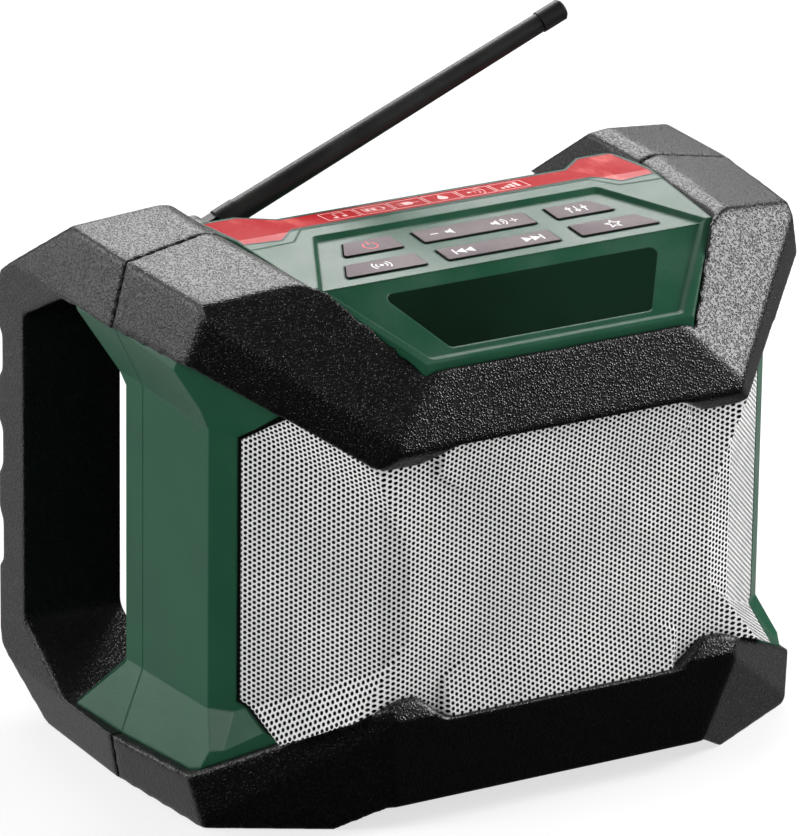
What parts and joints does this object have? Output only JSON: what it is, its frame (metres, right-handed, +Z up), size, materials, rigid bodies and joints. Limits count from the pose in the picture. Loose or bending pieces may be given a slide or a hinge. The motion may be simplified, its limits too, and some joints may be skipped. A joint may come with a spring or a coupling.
{
  "type": "jobsite radio",
  "caption": "Rugged battery jobsite radio with faceted rubber bumpers, a waisted shell, a wrap-round metal grille, a sloped control panel and a folding antenna.",
  "frame": {"origin": "on the floor, under the middle of the whole radio seen from above", "axes": "+X to the right-hand side seen from the front, +Y to the rear, +Z up; the grille faces -Y"},
  "size_m": [0.25, 0.182, 0.2471],
  "materials": {
    "bumper_rubber": "coarse leather-like grain, matte",
    "shell_green": "fine texture, satin",
    "grille_metal": "pale satin paint over perforated sheet",
    "dust_cloth": "open black weave",
    "label_red": "glossy film",
    "key_grey": "soft touch",
    "lens_dark": "polished dark window",
    "seal_rubber": "moulded",
    "display_glass": "flat cell",
    "board_laminate": "solder mask",
    "part_black": "moulded",
    "screw_steel": "zinc plated",
    "blade_brass": "plated",
    "antenna_black": "satin coating",
    "basket_steel": "black paint",
    "magnet_iron": "pressed ferrite with plated plates",
    "cone_paper": "pressed pulp"
  },
  "bodies": {
    "radio": {"antenna_bracket": "antenna_black", "antenna_pin": "screw_steel", "aux_jack": "part_black", "battery_bay": "part_black", "battery_rails": "part_black", "bay_screws": "screw_steel", "board_parts": "part_black", "board_screws": "screw_steel", "bumper_bottom": "bumper_rubber", "bumper_top": "bumper_rubber", "contact_blades": "blade_brass", "contact_block": "part_black", "control_board": "board_laminate", "cover_pin": "screw_steel", "dc_jack": "part_black", "display_lens": "lens_dark", "display_module": "display_glass", "front_housing": "shell_green", "grille_cloth": "dust_cloth", "housing_gasket": "seal_rubber", "housing_screws": "screw_steel", "keypad_membrane": "seal_rubber", "lens_gasket": "seal_rubber", "loop_left": "bumper_rubber", "loop_right": "bumper_rubber", "main_board": "board_laminate", "rail_screws": "screw_steel", "rear_housing": "shell_green", "speaker_basket_left": "basket_steel", "speaker_basket_right": "basket_steel", "speaker_cone_left": "cone_paper", "speaker_cone_right": "cone_paper", "speaker_grille": "grille_metal", "speaker_magnet_left": "magnet_iron", "speaker_magnet_right": "magnet_iron", "speaker_screws": "screw_steel", "tact_switches": "part_black", "top_label": "label_red", "top_trim": "shell_green", "usb_port": "screw_steel"},
    "antenna": {"antenna_knuckle": "antenna_black", "antenna_rod": "antenna_black", "antenna_tip": "antenna_black"},
    "port_flap": {"port_cover": "seal_rubber"},
    "power_key": {"power_button": "key_grey"},
    "mode_key": {"mode_button": "key_grey"},
    "eq_key": {"eq_button": "key_grey"},
    "preset_key": {"preset_button": "key_grey"},
    "volume_key": {"volume_rocker": "key_grey"},
    "track_key": {"track_rocker": "key_grey"}
  },
  "joints": [
    {"name": "antenna_tilt", "type": "hinge", "parent": "radio", "child": "antenna", "pos_m": [-0.077, 0.032, 0.1838], "axis": [0, -1, 0], "range_deg": [-22.8, 67.2]},
    {"name": "port_flap_turn", "type": "hinge", "parent": "radio", "child": "port_flap", "pos_m": [0.014, 0.0628, 0.0296], "axis": [-1, 0, 0], "range_deg": [0, 90]},
    {"name": "power_press", "type": "slide", "parent": "radio", "child": "power_key", "axis": [0, 0.0593, -0.9982], "range_m": [0, 0.001], "stiffness_N_per_m": 1500, "springref_m": -0.0002},
    {"name": "mode_press", "type": "slide", "parent": "radio", "child": "mode_key", "axis": [0, 0.0593, -0.9982], "range_m": [0, 0.001], "stiffness_N_per_m": 1500, "springref_m": -0.0002},
    {"name": "eq_press", "type": "slide", "parent": "radio", "child": "eq_key", "axis": [0, 0.0593, -0.9982], "range_m": [0, 0.001], "stiffness_N_per_m": 1500, "springref_m": -0.0002},
    {"name": "preset_press", "type": "slide", "parent": "radio", "child": "preset_key", "axis": [0, 0.0593, -0.9982], "range_m": [0, 0.001], "stiffness_N_per_m": 1500, "springref_m": -0.0002},
    {"name": "volume_rock", "type": "hinge", "parent": "radio", "child": "volume_key", "pos_m": [0, -0.02228, 0.18786], "axis": [0, 0.9982, 0.0593], "range_deg": [-2.5, 2.5], "stiffness_Nm_per_rad": 0.9},
    {"name": "track_rock", "type": "hinge", "parent": "radio", "child": "track_key", "pos_m": [0, -0.03895, 0.18687], "axis": [0, 0.9982, 0.0593], "range_deg": [-2.5, 2.5], "stiffness_Nm_per_rad": 0.9}
  ]
}
